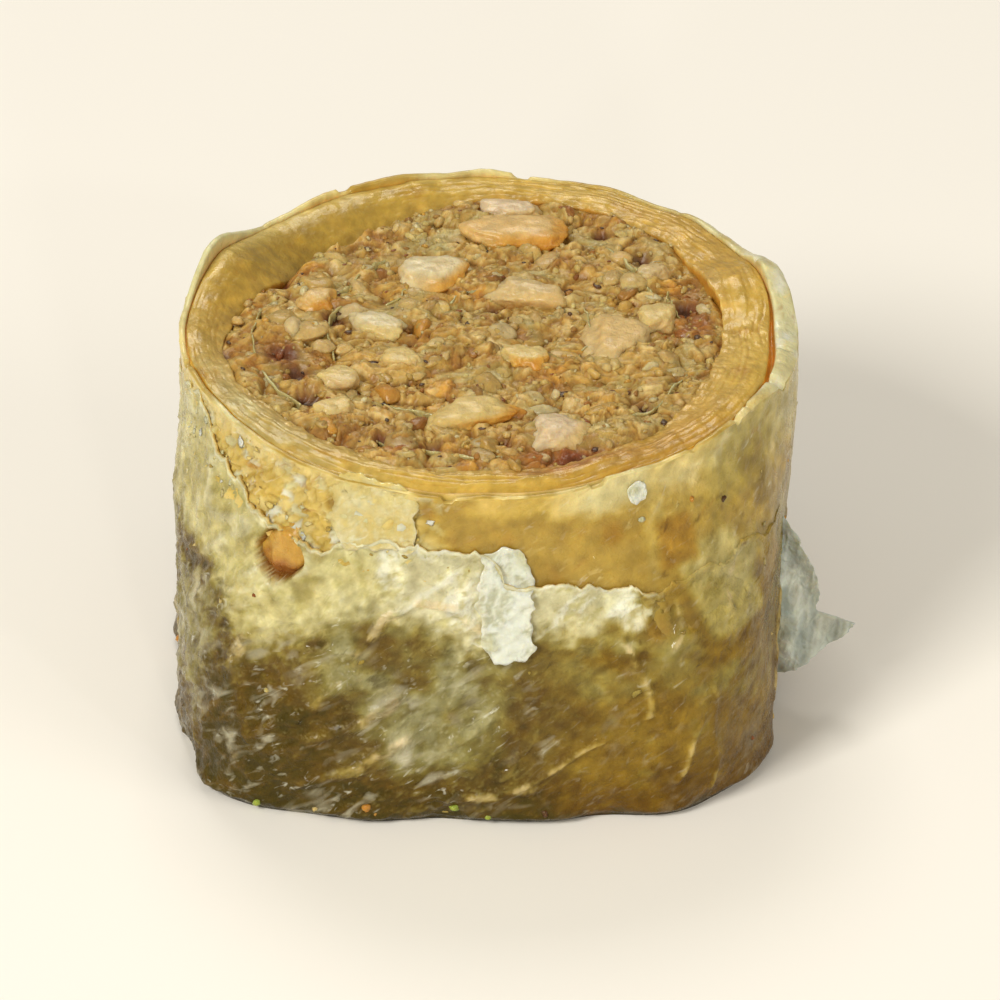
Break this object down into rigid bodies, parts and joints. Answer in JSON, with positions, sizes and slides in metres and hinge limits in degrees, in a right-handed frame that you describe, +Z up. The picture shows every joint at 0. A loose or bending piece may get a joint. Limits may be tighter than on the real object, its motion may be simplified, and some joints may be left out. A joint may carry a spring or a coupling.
{
  "type": "walnut sarma baklava piece",
  "caption": "Thick slice of a rolled phyllo pastry standing on its cut end, with a ringed wall of thin sheets and a rough walnut filling.",
  "frame": {"origin": "middle of the flat base, where the piece stands on its cut end", "axes": "+Z up through the roll to the cut face, +X to the right, the front faces -Y"},
  "size_m": [0.0466, 0.0439, 0.027],
  "materials": {
    "phyllo": "thin baked pastry sheets soaked in syrup: pale gold to olive gold, glossy and slightly see-through",
    "walnut": "ground and broken walnut, tan with pale pieces and brown skins, moist"
  },
  "bodies": {
    "root": {"phyllo_wrap": "phyllo", "walnut_filling": "walnut"}
  },
  "joints": []
}
